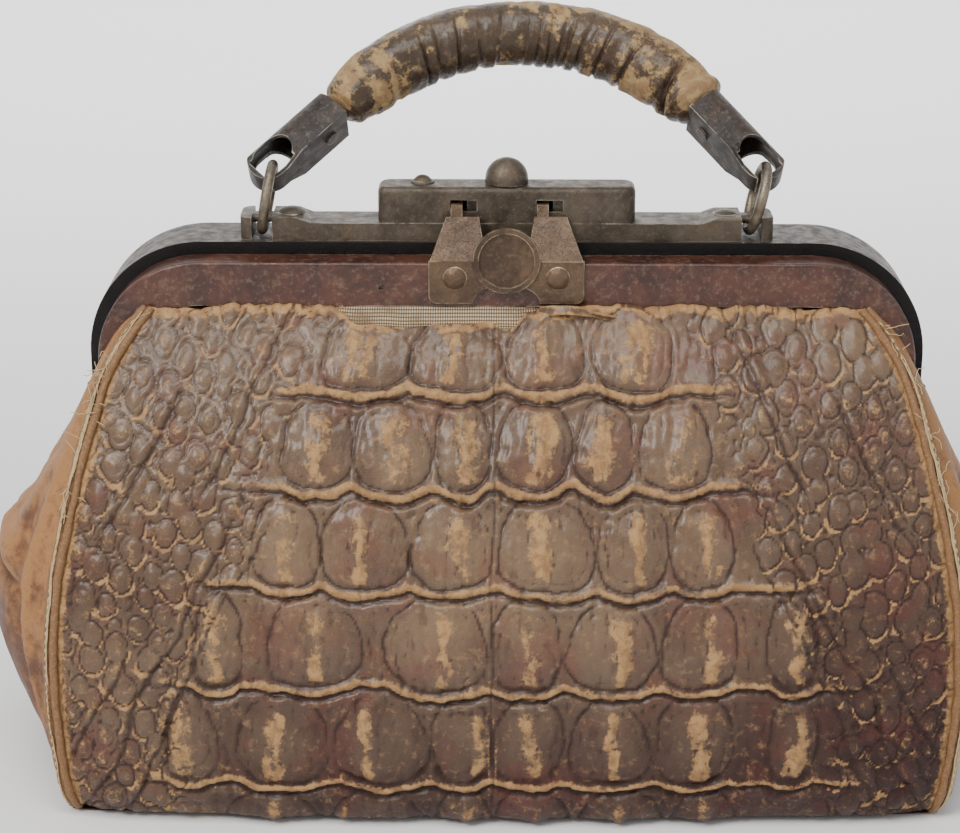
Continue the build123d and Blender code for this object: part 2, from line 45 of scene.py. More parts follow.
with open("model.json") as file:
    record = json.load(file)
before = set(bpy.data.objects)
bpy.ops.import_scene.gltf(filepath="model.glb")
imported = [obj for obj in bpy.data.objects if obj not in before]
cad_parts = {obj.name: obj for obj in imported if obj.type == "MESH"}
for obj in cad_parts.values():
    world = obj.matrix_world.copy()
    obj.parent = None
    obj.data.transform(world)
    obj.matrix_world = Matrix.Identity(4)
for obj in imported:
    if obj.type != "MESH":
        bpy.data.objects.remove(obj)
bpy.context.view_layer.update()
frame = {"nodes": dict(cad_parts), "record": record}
MM = 0.001

# ---------------- sizes from CAD
FRONT_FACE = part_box("front_frame")[0][1] / MM          # y of the front frame's face
REAR_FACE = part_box("rear_frame")[1][1] / MM            # y of the rear frame's back face
FRAME_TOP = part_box("rear_frame")[1][2] / MM
FRAME_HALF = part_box("rear_frame")[1][0] / MM
JOINTS = {joint["name"]: joint for joint in frame["record"]["behaviour"]["joints"]}
PIN_Y, PIN_Z = (value / MM for value in JOINTS["front_frame_opening"]["pos_m"][1:])
SWING_Y, SWING_Z = (value / MM for value in JOINTS["grip_swing"]["pos_m"][1:])

# The two walls and ends of the bag go by the sign of their y and x.
WALLS = {-1: "front", 1: "rear"}
ENDS = {-1: "left", 1: "right"}
JAWS = {-1: "front_frame", 1: "rear_frame"}

# Where a hide is clamped: just inside each frame's flange.
FLANGE_BACK = {-1: FRONT_FACE + 1.8, 1: REAR_FACE - 1.8}

REST = 0.25                          # the lowest leather above the ground

# Side profile of each panel, base to frame: (depth from the middle plane, height).
BELLY = [(56, 0.7), (65, 0.7), (71.5, 2.6), (75, 8), (76.2, 18), (76.4, 34), (74.6, 58), (69, 86)]
PROFILES = {-1: BELLY + [(59.5, 114), (46.5, 141), (33, 161), (23.5, 173), (19.6, 178.8)],
            1: BELLY + [(61, 114), (50, 141), (38, 161), (28.5, 175), (23.6, 184.4)]}
# Half width of a panel at its seams: (half width, height).
SEAM_WIDTH = [(156.0, 0), (158.6, 9), (160.6, 24), (162.0, 45), (162.0, 68), (160.0, 88),
              (155.5, 113), (149.0, 138), (142.5, 158), (135.0, 171), (127.5, 180), (123.5, 185)]
LEFT_BULGE = 5.0                    # the left gusset stands out this much further
# Half width of the bag at the gusset's fullest line: (half width, height).
NOSE_WIDTH = [(160.0, 0), (168.0, 6), (176.0, 20), (184.5, 42), (188.0, 62), (187.0, 80),
              (180.0, 97), (170.0, 113), (160.0, 130), (154.8, 142), (153.9, 150)]


def hermite(places, values, at):
    """A smooth curve through values at places, read at other places."""
    places, values = np.asarray(places, float), np.asarray(values, float)
    slopes = np.gradient(values, places)
    at = np.clip(np.asarray(at, float), places[0], places[-1])
    i = np.clip(np.searchsorted(places, at, side="right") - 1, 0, len(places) - 2)
    step = places[i + 1] - places[i]
    t = (at - places[i]) / step
    start = (1 + 2 * t) * (1 - t) ** 2 * values[i] + t * (1 - t) ** 2 * step * slopes[i]
    stop = t * t * (3 - 2 * t) * values[i + 1] + t * t * (t - 1) * step * slopes[i + 1]
    return start + stop


def width_at(points, height):
    """A (half width, height) curve read at heights."""
    widths, heights = zip(*points)
    return hermite(heights, widths, height)


def along(points, count):
    """Even steps along a smooth curve through (depth, height) points."""
    corners = np.array(points, float)
    chord = np.concatenate([[0], np.cumsum(np.hypot(*np.diff(corners, axis=0).T))])
    fine = np.linspace(0, chord[-1], 4000)
    depth, height = (hermite(chord, corners[:, k], fine) for k in (0, 1))
    run = np.concatenate([[0], np.cumsum(np.hypot(np.diff(depth), np.diff(height)))])
    even = np.linspace(0, run[-1], count)
    return np.interp(even, run, depth), np.interp(even, run, height)


# ---------------- noise tools
def noise(x, y, cell, seed):
    """Smooth value noise from -1 to 1, over arrays or plain numbers."""
    size = 97
    table = np.random.default_rng(1000 + seed).uniform(-1, 1, (size, size))
    gx, gy = x / cell, y / cell
    ix, iy = np.floor(gx).astype(int), np.floor(gy).astype(int)
    fx, fy = gx - ix, gy - iy
    fx, fy = fx * fx * (3 - 2 * fx), fy * fy * (3 - 2 * fy)
    near = table[ix % size, iy % size] * (1 - fx) + table[(ix + 1) % size, iy % size] * fx
    far = (table[ix % size, (iy + 1) % size] * (1 - fx)
           + table[(ix + 1) % size, (iy + 1) % size] * fx)
    return near * (1 - fy) + far * fy


def cloudy(x, y, cell, seed, octaves=4):
    """Several octaves of noise, about -1 to 1."""
    total, weight = np.zeros_like(x, float), 0.0
    for octave in range(octaves):
        share = 0.55 ** octave
        total += share * noise(x, y, cell / 2 ** octave, seed + 17 * octave)
        weight += share
    return total / weight


def ramp(value, low, high):
    """0 below low, 1 above high, smooth between."""
    t = np.clip((value - low) / (high - low), 0, 1)
    return t * t * (3 - 2 * t)


def bell(distance, width):
    return np.exp(-(distance / width) ** 2)


def blur(field, reach):
    """A soft average over reach grid steps each way."""
    for axis in (0, 1, 0, 1):
        spread = [(0, 0), (0, 0)]
        spread[axis] = (reach + 1, reach)
        total = np.cumsum(np.pad(field, spread, mode="edge"), axis)
        size = field.shape[axis]
        upper = np.take(total, np.arange(size) + 2 * reach + 1, axis)
        lower = np.take(total, np.arange(size), axis)
        field = (upper - lower) / (2 * reach + 1)
    return field


# ---------------- mesh tools
def add_to_scene(name, data):
    """A new object in the scene for some data."""
    piece = bpy.data.objects.new(name, data)
    bpy.context.scene.collection.objects.link(piece)
    return piece


def new_mesh(name, points, faces, material):
    """A smooth-shaded mesh piece from points in millimetres."""
    data = bpy.data.meshes.new(name)
    corners = np.reshape(points, (-1, 3)) * MM
    data.from_pydata(corners.tolist(), [], faces)
    data.update()
    data.materials.append(material)
    data.polygons.foreach_set("use_smooth", [True] * len(data.polygons))
    return add_to_scene(name, data)


def grid_faces(rows, columns, wrap_columns=False, flip=False):
    """Quads of a grid whose point (i, j) has index i * columns + j."""
    faces = []
    for i in range(rows - 1):
        for j in range(columns if wrap_columns else columns - 1):
            low, high, j2 = i * columns, (i + 1) * columns, (j + 1) % columns
            quad = (low + j, low + j2, high + j2, high + j)
            faces.append(quad[::-1] if flip else quad)
    return faces


def grid_piece(name, points, material, flip=False):
    """A piece from a (rows, columns, 3) grid of points."""
    rows, columns, _three = points.shape
    return new_mesh(name, points, grid_faces(rows, columns, flip=flip), material)


def end_caps(rows, columns):
    """The two end faces of a grid that is closed all the way round."""
    last = (rows - 1) * columns
    return [tuple(range(columns))[::-1], tuple(range(last, last + columns))]


def even_grid(across, up, columns, rows):
    """Two fields (rows, columns) that run evenly over the ranges across and up."""
    return np.meshgrid(np.linspace(*across, columns), np.linspace(*up, rows))


def thicken(piece, thickness):
    piece.modifiers.new("thickness", "SOLIDIFY").thickness = thickness * MM


def paint(piece, **fields):
    """Numbers from 0 to 1 at each point, which the materials read by name."""
    for name, values in fields.items():
        layer = piece.data.attributes.new(name, "FLOAT", "POINT")
        values = np.broadcast_to(np.ravel(values), len(layer.data))
        layer.data.foreach_set("value", np.clip(values, 0, 1))


def set_uv(piece, u, v):
    layer = piece.data.uv_layers.new(name="UVMap")
    index = np.zeros(len(piece.data.loops), int)
    piece.data.loops.foreach_get("vertex_index", index)
    flat = np.stack([u.ravel()[index], v.ravel()[index]], 1)
    layer.data.foreach_set("uv", flat.ravel())


def grid_normals(points):
    """Unit normals of a (rows, columns, 3) grid of points."""
    across = np.gradient(points, axis=1)
    up = np.gradient(points, axis=0)
    normal = np.cross(across, up)
    return normal / np.maximum(np.linalg.norm(normal, axis=2, keepdims=True), 1e-9)


# ---------------- materials
class Nodes:
    """Short calls that wire up one node material."""

    def __init__(self, name):
        self.material = bpy.data.materials.new(name)
        self.material.use_nodes = True
        self.tree = self.material.node_tree
        self.shader = self.tree.nodes["Principled BSDF"]

    def add(self, kind, inputs=None, **settings):
        node = self.tree.nodes.new(kind)
        for key, value in settings.items():
            setattr(node, key, value)
        for key, value in (inputs or {}).items():
            self.link(value, node.inputs[key])
        return node

    def link(self, value, socket):
        """Feeds a socket from another socket, a number or a colour of screen values."""
        if isinstance(value, bpy.types.NodeSocket):
            self.tree.links.new(value, socket)
        else:
            socket.default_value = tint(*value) if isinstance(value, tuple) else value

    def coords(self):
        return self.add("ShaderNodeTexCoord").outputs["Object"]

    def attribute(self, name):
        return self.add("ShaderNodeAttribute", attribute_name=name).outputs["Fac"]

    def noise(self, scale, detail=6.0, rough=0.6, distortion=0.0):
        inputs = {"Vector": self.coords(), "Scale": scale, "Detail": detail, "Roughness": rough,
                  "Distortion": distortion}
        return self.add("ShaderNodeTexNoise", inputs).outputs["Fac"]

    def spots(self, scale):
        inputs = {"Vector": self.coords(), "Scale": scale}
        return self.add("ShaderNodeTexVoronoi", inputs).outputs["Distance"]

    def ramp(self, value, low, high, out_low=0.0, out_high=1.0):
        inputs = {"Value": value, "From Min": low, "From Max": high,
                  "To Min": out_low, "To Max": out_high}
        return self.add("ShaderNodeMapRange", inputs, interpolation_type="SMOOTHSTEP").outputs[0]

    def math(self, operation, a, b):
        return self.add("ShaderNodeMath", {0: a, 1: b}, operation=operation).outputs[0]

    def plus(self, a, b):
        return self.math("ADD", a, b)

    def times(self, a, b):
        return self.math("MULTIPLY", a, b)

    def swing(self, value, size):
        """A 0 to 1 field about zero, times size."""
        return self.times(self.math("SUBTRACT", value, 0.5), size)

    def mix(self, factor, a, b):
        node = self.add("ShaderNodeMix", data_type="RGBA")
        self.link(factor, node.inputs["Factor"])
        self.link(a, node.inputs[6])
        self.link(b, node.inputs[7])
        return node.outputs[2]

    def bump(self, height, distance, strength=1.0, normal=None):
        inputs = {"Height": height, "Distance": distance, "Strength": strength}
        if normal is not None:
            inputs["Normal"] = normal
        return self.add("ShaderNodeBump", inputs).outputs["Normal"]

    def edges(self, radius, low, high):
        """1 along sharp outside edges, from the difference that a small bevel makes."""
        bevel = self.add("ShaderNodeBevel", {"Radius": radius}, samples=6).outputs["Normal"]
        plain = self.add("ShaderNodeNewGeometry").outputs["Normal"]
        dot = self.add("ShaderNodeVectorMath", {0: bevel, 1: plain}, operation="DOT_PRODUCT")
        return self.ramp(dot.outputs["Value"], high, low)

    def finish(self, color, roughness, normal=None, **sockets):
        """The material, with the shader's other sockets named with _ for each space."""
        self.link(color, self.shader.inputs["Base Color"])
        self.link(roughness, self.shader.inputs["Roughness"])
        if normal is not None:
            self.link(normal, self.shader.inputs["Normal"])
        for key, value in sockets.items():
            self.link(value, self.shader.inputs[key.replace("_", " ")])
        return self.material


def tint(red, green, blue):
    """A colour given as 0-255 screen values, as linear RGBA."""
    def linear(value):
        value /= 255
        return value / 12.92 if value <= 0.04045 else ((value + 0.055) / 1.055) ** 2.4
    return (linear(red), linear(green), linear(blue), 1.0)


def worn_metal(name, base, dark, rust, bright, metallic, rough, dark_front=False,
               specular=0.4, coat=0.0):
    """Old steel: patches of patina, brown stain, pits and rubbed edges, which also carry a painted
    highlight.
    """
    n = Nodes(name)
    patch = n.noise(60.0, detail=9.0, rough=0.68, distortion=0.2)
    stain = n.noise(130.0, detail=8.0, rough=0.72, distortion=0.4)
    grit = n.noise(520.0, detail=6.0, rough=0.7)
    pits = n.noise(1500.0, detail=3.0)
    edge = n.edges(0.0008, 0.72, 0.97)
    worn_edge_and_highlight = n.times(edge, n.ramp(n.noise(150.0, detail=8.0), 0.4, 0.6))
    color = n.mix(n.ramp(patch, 0.36, 0.64), dark, base)
    color = n.mix(n.ramp(stain, 0.52, 0.7, 0.0, 0.5), color, rust)
    color = n.mix(n.ramp(grit, 0.5, 0.7, 0.0, 0.22), color, n.mix(0.5, base, bright))
    color = n.mix(n.ramp(pits, 0.56, 0.7, 0.0, 0.45), color, dark)
    # Bright rubbed edges: partly real wear, partly a painted highlight along the bends.
    color = n.mix(n.times(worn_edge_and_highlight, 0.85), color, bright)
    roughness = n.ramp(n.noise(260.0, detail=8.0), 0.35, 0.68, rough[0], rough[1])
    if dark_front:
        facing = n.add("ShaderNodeSeparateXYZ", {0: n.add("ShaderNodeTexCoord").outputs["Normal"]})
        band = n.ramp(n.times(facing.outputs["Y"], -1.0), 0.55, 0.75)
        color = n.mix(band, color, (24, 20, 20))
    normal = n.bump(patch, 0.0012, 0.45)
    normal = n.bump(grit, 0.0003, 0.6, normal)
    normal = n.bump(n.ramp(pits, 0.5, 0.75), 0.00012, 0.7, normal)
    return n.finish(color, roughness, normal, Specular_IOR_Level=specular, Coat_Roughness=0.2,
                    Metallic=metallic, Coat_Weight=coat)


def hide(name, high, low, tan, deep, glaze=0.34, ruddy=0.42):
    """Hide whose wear, creases, shine and lightness come from the piece's own point values; the
    lightness holds painted light and shade.
    """
    n = Nodes(name)
    wear = n.attribute("wear")
    crease = n.attribute("crease")
    height = n.attribute("height")
    coarse = n.noise(260.0, detail=6.0, rough=0.7, distortion=0.3)
    fine = n.noise(1100.0, detail=5.0, rough=0.65)
    speckle = n.noise(2600.0, detail=2.0)
    cloud = n.noise(26.0, detail=6.0, rough=0.6)
    red = n.noise(48.0, detail=5.0, distortion=0.5)
    # The "height" point value mixes the low and high colours: on the panels it holds painted sheen
    # towards the top, on the grip painted light on top and painted shade underneath.
    base = n.mix(height, low, high)
    base = n.mix(n.ramp(cloud, 0.38, 0.66, 0.0, 0.6), base, deep)
    oxblood = n.mix(height, (82, 30, 28), (116, 72, 56))
    base = n.mix(n.ramp(red, 0.48, 0.66, 0.0, ruddy), base, oxblood)
    base = n.mix(n.ramp(coarse, 0.52, 0.72, 0.0, 0.35), base, tan)
    grit = n.plus(n.swing(coarse, 1.3), n.swing(fine, 0.9))
    worn = n.ramp(n.plus(wear, grit), 0.3, 0.66)
    umber = n.mix(0.5, tan, (104, 70, 46))
    tan_varied = n.mix(n.ramp(coarse, 0.42, 0.6), umber, tan)
    tan_varied = n.mix(n.ramp(speckle, 0.45, 0.68, 0.0, 0.6), tan_varied, umber)
    color = n.mix(n.times(worn, 0.92), base, tan_varied)
    color = n.mix(n.ramp(crease, 0.12, 0.85, 0.0, 0.78), color, (46, 27, 20))
    shine = n.ramp(fine, 0.35, 0.65, glaze - 0.1, glaze + 0.1)
    roughness = n.plus(shine, n.times(worn, 0.4))
    glazed = n.math("SUBTRACT", n.ramp(height, 0.0, 0.8, 0.1, 0.32), n.times(worn, 0.3))
    normal = n.bump(n.spots(1500.0), 0.00012, 0.5)
    normal = n.bump(coarse, 0.0006, 0.5, normal)
    normal = n.bump(fine, 0.0003, 0.7, normal)
    return n.finish(color, roughness, normal, Specular_IOR_Level=0.24, Coat_Roughness=0.22,
                    Coat_Weight=glazed)


def plain_leather(name, pale, dark, cell=60.0):
    """Soft rubbed leather of the gussets: pale raised grain and dark soiling."""
    n = Nodes(name)
    wear = n.attribute("wear")
    crease = n.attribute("crease")
    cloud = n.noise(cell, detail=8.0, rough=0.68, distortion=0.3)
    blotch = n.noise(cell * 4, detail=6.0, rough=0.7)
    grain = n.spots(900.0)
    fine = n.noise(1100.0, detail=4.0)
    grit = n.plus(n.swing(cloud, 1.6), n.swing(blotch, 1.1))
    color = n.mix(n.ramp(n.plus(wear, grit), 0.2, 0.8), dark, pale)
    color = n.mix(n.ramp(fine, 0.45, 0.7, 0.0, 0.45), color, n.mix(0.5, dark, pale))
    color = n.mix(n.ramp(blotch, 0.56, 0.7, 0.0, 0.5), color, (104, 68, 48))
    color = n.mix(n.ramp(crease, 0.2, 0.85, 0.0, 0.8), color, (72, 44, 30))
    roughness = n.ramp(cloud, 0.35, 0.7, 0.5, 0.78)
    normal = n.bump(grain, 0.00016, 0.6)
    normal = n.bump(fine, 0.00014, 0.5, normal)
    return n.finish(color, roughness, normal, Specular_IOR_Level=0.35)


def woven(name, pale, dark, pitch):
    """Plain weave canvas: two crossed waves of thread."""
    n = Nodes(name)
    uv = n.add("ShaderNodeTexCoord").outputs["UV"]
    threads = []
    for direction in ("X", "Y"):
        inputs = {"Vector": uv, "Scale": pitch, "Distortion": 0.35, "Detail": 1.0}
        wave = n.add("ShaderNodeTexWave", inputs, bands_direction=direction, wave_profile="SIN")
        threads.append(wave.outputs["Fac"])
    weave = n.times(*threads)
    dirt = n.noise(70.0, detail=5.0)
    color = n.mix(n.ramp(weave, 0.05, 0.5), dark, pale)
    color = n.mix(n.ramp(dirt, 0.45, 0.7, 0.0, 0.6), color, dark)
    normal = n.bump(weave, 0.0004, 0.9)
    return n.finish(color, 0.85, normal, Specular_IOR_Level=0.2)


# ---------------- crocodile hide relief
# The rows of large scutes, from the base up. Each row has its lower and upper height
# and its scutes as (left edge, right edge, place of the keel), across the panel.
SCUTE_ROWS = [
    (-14, 16, [(-100, -68, -84), (-62, -30, -58), (-26, -5, -14), (-3, 24, 11),
               (28, 56, 42), (60, 84, 72)]),
    (16, 53, [(-120, -104, -115), (-95, -63, -81), (-59, -28, -48), (-25, -5, -8),
              (-4, 20, 8), (24, 50, 38), (54, 81, 68), (95, 111, 105)]),
    (53, 88, [(-110, -94, -102), (-84, -52, -65), (-42, -7, -23), (-4, 19, 8),
              (22, 54, 40), (57, 82, 73), (94, 110, 103)]),
    (88, 121, [(-89, -66, -78), (-64, -35, -51), (-33, -6, -17), (-2, 30, 12),
               (33, 57, 46), (60, 80, 72)]),
    (121, 152, [(-79, -54, -66), (-52, -28, -39), (-25, -6, -14), (-2, 22, 12),
                (25, 45, 35), (48, 73, 62)]),
    (152, 180, [(-65, -34, -52), (-33, -4, -18), (-1, 28, 13), (33, 59, 47)]),
]


class Relief:
    """Height, wear and crease fields of the hide over panel places x and z."""

    def __init__(self, x, z, seed, step):
        self.x, self.z, self.seed, self.step = x, z, seed, step
        bend_x = 2.6 * cloudy(x, z, 24, seed + 1) + 0.8 * cloudy(x, z, 6, seed + 3, 2)
        bend_z = 2.2 * cloudy(x, z, 26, seed + 2) + 0.7 * cloudy(x, z, 6, seed + 4, 2)
        self.warp_x, self.warp_z = x + bend_x, z + bend_z
        self.patchy = ramp(cloudy(x, z, 18, seed + 6), -0.45, 0.5)
        self.height = np.zeros_like(x)
        self.wear = np.zeros_like(x)
        self.crease = np.zeros_like(x)

    def rub(self, amount):
        self.wear = np.maximum(self.wear, amount)

    def fold_in(self, amount):
        self.crease = np.maximum(self.crease, amount)

    def build(self):
        half = np.interp(self.z, [0, 40, 70, 105, 140, 170], [114, 117, 106, 88, 80, 66])
        side = half + 5 * cloudy(self.x, self.z, 22, self.seed + 5) - np.abs(self.warp_x)
        back = ramp(side, -4, 5)
        crack_reach = ramp(side, -26, 4) ** 1.5
        for low, high, scutes in SCUTE_ROWS:
            self.add_row(low, high, scutes, crack_reach)
        self.add_flanks(1 - back)
        self.add_spine()
        self.add_wrinkles(back)
        self.rub_high_places()
        return self

    def add_row(self, low, high, scutes, reach):
        """The crack under a row, its rubbed lip and its scutes."""
        dip = np.zeros_like(self.x)
        for left, right, _keel in scutes:
            centre, half = (left + right) / 2, (right - left) / 2
            dip = np.maximum(dip, 1 - ((self.warp_x - centre) / half) ** 2)
        gap = self.warp_z - (low + 1.0 - 3.2 * np.clip(dip, 0, 1))
        crack = bell(gap, 0.8) * reach
        lip = bell(gap - 2.2, 1.6) * reach
        self.fold_in(crack)
        self.height += 1.1 * lip - 1.3 * crack + 0.8 * bell(gap + 2.4, 1.3) * reach
        self.rub(lip * (0.62 + 0.55 * self.patchy))
        inside = (gap > -0.5) & (self.warp_z < high + 2.5)
        for left, right, keel in scutes:
            self.add_scute(left, right, keel, low + 2.6, high - 1.0, inside)

    def add_scute(self, left, right, keel, low, high, inside):
        """A domed shield, fuller towards its foot, in a ring of creases."""
        centre, half = (left + right) / 2, (right - left) / 2
        middle, rise = (low + high) / 2, (high - low) / 2
        up = (self.warp_z - middle) / rise
        across = (self.warp_x - centre) / (half * (1.02 - 0.13 * up))
        shape = (np.abs(across) ** 2.4 + np.abs(up) ** 2.4) ** (1 / 2.4)
        near = inside & (shape < 1.5)
        rim = (shape - 1) * half
        dome = 1.6 * np.clip(1 - shape ** 2.4, 0, 1) ** 0.6
        dome += 0.5 * bell(self.x - keel, 7) * np.clip(1 - shape, 0, 1)
        strength = 0.2 + 0.8 * ramp(cloudy(self.x, self.z, 9, self.seed + 14), -0.35, 0.35)
        groove = bell(rim - 0.4, 0.55) * near * strength
        ring = bell(rim - 2.0, 0.9) * near
        inner = bell(rim + 2.6, 0.5) * near * (1 - self.patchy)
        self.height += near * dome - 0.7 * groove + 0.35 * ring - 0.3 * inner
        self.fold_in(np.maximum(0.75 * groove, 0.4 * inner))
        self.rub(0.3 * ring * self.patchy)
        self.add_keel(keel, up, shape, near)

    def add_keel(self, keel, up, shape, near):
        """The rubbed strip down a scute: a low ridge with ragged pale patches."""
        rng = random.Random(round(keel * 7 + self.seed))
        strength = rng.uniform(0.62, 1.0)
        lean = rng.uniform(-0.06, 0.06)
        wander = keel + 1.3 * noise(self.z, 0, 11, self.seed + 50 + round(keel))
        off = self.x - wander - lean * (self.z % 33)
        width = rng.uniform(2.6, 4.2) + 1.6 * noise(self.z + keel, 0, 8, self.seed + 3)
        width = width * (1 + 0.7 * ramp(self.z, 90, 150))
        body = ramp(1.04 - shape, 0, 0.25) * ramp(up, -1.0, -0.85) * ramp(0.95 - up, 0, 0.5)
        strip = np.exp(-np.abs(off / width) ** 3) * near * body
        ragged = cloudy(self.x * 2.2, self.z * 0.9, 7, self.seed + 8)
        self.height += 1.1 * bell(off, 2.6) * near * body + 0.35 * strip * ragged
        self.rub(strip * strength * (0.82 + 1.0 * ragged))

    def add_spine(self):
        """The thin double line down the middle of the back."""
        place = self.x + 4.6 + 0.8 * noise(self.z, 0, 23, self.seed + 9)
        for side in (-1.1, 1.1):
            line = bell(place - side, 0.6)
            self.height += 0.5 * line
            self.rub(0.55 * line * self.patchy)
        self.fold_in(0.7 * bell(place, 0.6))

    def add_flanks(self, flank):
        """Oval scales in slanting files, with beads and long folds between."""
        big, low = self.scales(self.file_centres(9.6, 3.95, 0.95), 1.28, 31)
        small, _low = self.scales(self.file_centres(4.2, 1.75, 0.6), 1.1, 37)
        dome = np.sqrt(np.clip(1 - big ** 3, 0, 1)) + 0.35 * bell(big, 0.35)
        groove = bell(big - 1.02, 0.09)
        ring = bell(big - 1.24, 0.12)
        inner = bell(big - 0.62, 0.10) * (0.35 + 0.65 * ramp(self.patchy, 0.8, 0.2))
        self.height += flank * (0.85 * dome - 0.45 * groove + 0.45 * ring - 0.42 * inner)
        between = flank * ramp(big, 1.25, 1.5)
        beads = np.sqrt(np.clip(1 - small ** 2, 0, 1))
        gaps = ramp(small, 0.9, 1.35)
        self.height += between * (0.65 * beads - 0.25 * gaps)
        creases = np.maximum(0.62 * flank * groove, 0.45 * between * gaps)
        self.fold_in(np.maximum(creases, 0.55 * flank * inner))
        lower_rim = (ring + 0.8 * groove) * ramp(low, -0.3, 0.7) * (0.5 + 0.75 * self.patchy)
        self.rub(0.42 * flank * bell(big - 0.3, 0.4) * (1 - self.patchy))
        self.rub(0.95 * flank * lower_rim)
        self.add_folds(flank)

    def file_centres(self, pitch, size, loose):
        """Scale centres and radii in files that run down and outwards."""
        rng = random.Random(self.seed + round(pitch * 10))
        centres = []
        for side in (-1, 1):
            for file in range(int(175 / pitch)):
                for line in range(int(186 / pitch)):
                    height = pitch * (line + 0.5 * (file % 2))
                    away = 44 + pitch * file - 0.42 * (height - 60)
                    jitter = (rng.uniform(-loose, loose) * pitch * 0.24 for _axis in range(2))
                    place, level = side * away + next(jitter), height + next(jitter)
                    centres.append((place, level, size * rng.uniform(0.78, 1.16)))
        return centres

    def scales(self, centres, stretch, seed):
        """Distance to the nearest centre in radii, and how far below it a point is."""
        x = self.warp_x + 0.5 * cloudy(self.x, self.z, 5, self.seed + seed, 2)
        z = self.warp_z
        best = np.full(x.shape, 9.0)
        low = np.zeros(x.shape)
        for place, level, size in centres:
            i = np.flatnonzero(np.abs(self.z[:, 0] - level) < 3 * size + 4)
            if not len(i):
                continue
            j = np.flatnonzero(np.abs(self.x[i[len(i) // 2]] - place) < 3 * size + 6)
            if not len(j):
                continue
            cut = np.s_[i[0]:i[-1] + 1, j[0]:j[-1] + 1]
            dx, dz = x[cut] - place, (z[cut] - level) / stretch
            away = np.hypot(dx, dz) / size
            closer = away < best[cut]
            best[cut] = np.where(closer, away, best[cut])
            below = -dz / np.maximum(np.hypot(dx, dz), 0.1)
            low[cut] = np.where(closer, below, low[cut])
        return best, low

    def add_folds(self, flank):
        """Long creases that run down and outwards across a flank."""
        place = np.abs(self.warp_x) + 0.5 * self.warp_z
        for line in range(9):
            offset = 86 + 13.5 * line
            wave = 3.2 * noise(self.z, line, 26, self.seed + 60 + line)
            present = noise(self.z, np.sign(self.x) + line, 44, self.seed + 90 + line)
            present = ramp(present, -0.2, 0.3)
            fold = bell(place + wave - offset, 0.9) * flank * present
            lip = bell(place + wave - offset - 2.4, 1.5) * flank * present
            self.fold_in(0.75 * fold)
            self.height += 0.7 * lip - 0.8 * fold
            self.rub(0.35 * lip * self.patchy)

    def add_wrinkles(self, back):
        """Fine wrinkles that run up and down the scutes, and a dry crumpled grain."""
        x, z = self.x, self.z
        upright = cloudy(self.warp_x * 2.2, z * 0.55, 4.4, self.seed + 30)
        cross = cloudy(x * 0.6, self.warp_z * 1.8, 5.0, self.seed + 32, 3)
        crumple = cloudy(x, z, 4.2, self.seed + 31, 3)
        self.height += 0.5 * upright * (0.3 + back) + 0.25 * cross + 0.26 * crumple
        lines = np.maximum(ramp(-upright, 0.18, 0.5) * back, 0.6 * ramp(-cross, 0.3, 0.6))
        self.fold_in(0.45 * lines)

    def rub_high_places(self):
        """Wear comes first on what stands up; what lies low is made darker and less worn."""
        raised = self.height - blur(self.height, round(4.5 / self.step))
        cavity = blur(self.height, max(1, round(1.0 / self.step))) - self.height
        rub = ramp(cloudy(self.x, self.z, 36, self.seed + 33), -0.25, 0.5)
        self.rub(0.5 * ramp(raised, 0.25, 1.1) * rub)
        self.wear *= 1 - 0.7 * ramp(cavity, 0.08, 0.3)
        self.fold_in(0.8 * ramp(cavity, 0.06, 0.32))


# ---------------- leather body
def panel_grid(sign, columns, rows):
    """Points (rows, columns, 3) of a panel before relief, and its flat places x and z."""
    depth, height = along(PROFILES[sign], rows)
    u = np.linspace(-1, 1, columns)
    half = width_at(SEAM_WIDTH, height)
    x = half[:, None] * u[None, :]
    z = np.repeat(height[:, None], columns, 1)
    bow = 4.0 * u ** 2 + 5.0 * u ** 14
    upper = ramp(height, 120, 178)[:, None]
    y = depth[:, None] - bow[None, :] * (1 - 0.75 * upper)
    sag = 1.3 * cloudy(x, z, 75, 5 if sign < 0 else 6, 2) * ramp(height, 8, 50)[:, None]
    y = y + sag * (1 - ramp(height, 150, 178)[:, None])
    return np.stack([x, sign * y, z], 2), x, z


def hide_panel(sign, seed, step):
    """One crocodile panel: shape, relief and a raw edge turned in at the top."""
    columns, rows = int(326 / step), int(202 / step)
    points, x, z = panel_grid(sign, columns, rows)
    outward = grid_normals(points) * -sign
    relief = Relief(x, z, seed, step).build()
    side = np.abs(x) / width_at(SEAM_WIDTH, z)
    edge = 1 - ramp(side, 0.965, 0.995)
    top = points[-1, 0, 2]
    ragged = 1.2 * noise(x, 0, 7, seed + 70) + 0.8 * noise(x, 0, 2.5, seed + 71)
    hem = ramp(top - z + ragged, 0.5, 4.0)
    fade = (0.1 + 0.9 * edge) * (0.25 + 0.75 * hem) * ramp(z, 0.7, 5.0)
    lift = relief.height * fade + 0.9 * (1 - hem)
    points = points + outward * lift[..., None]
    points[-8:, :, 2] += np.linspace(0, 1, 8)[:, None] * 0.8 * ragged[-8:]
    if sign < 0:
        drop = 4.4 * sagging(points[..., 0]) * ramp(z, 160, top)
        points[..., 1] -= 0.67 * drop
        points[..., 2] -= drop
    points[..., 2] = np.maximum(points[..., 2], REST)
    turned = turned_edge(points, sign)
    points = np.concatenate([points] + turned, 0)
    piece = grid_piece(f"hide_{WALLS[sign]}", points, HIDE, sign > 0)
    for field, values in panel_finish(relief, side, edge, hem).items():
        tail = np.repeat(values[-1:], len(turned), 0)
        paint(piece, **{field: np.concatenate([values, tail], 0)})
    return piece


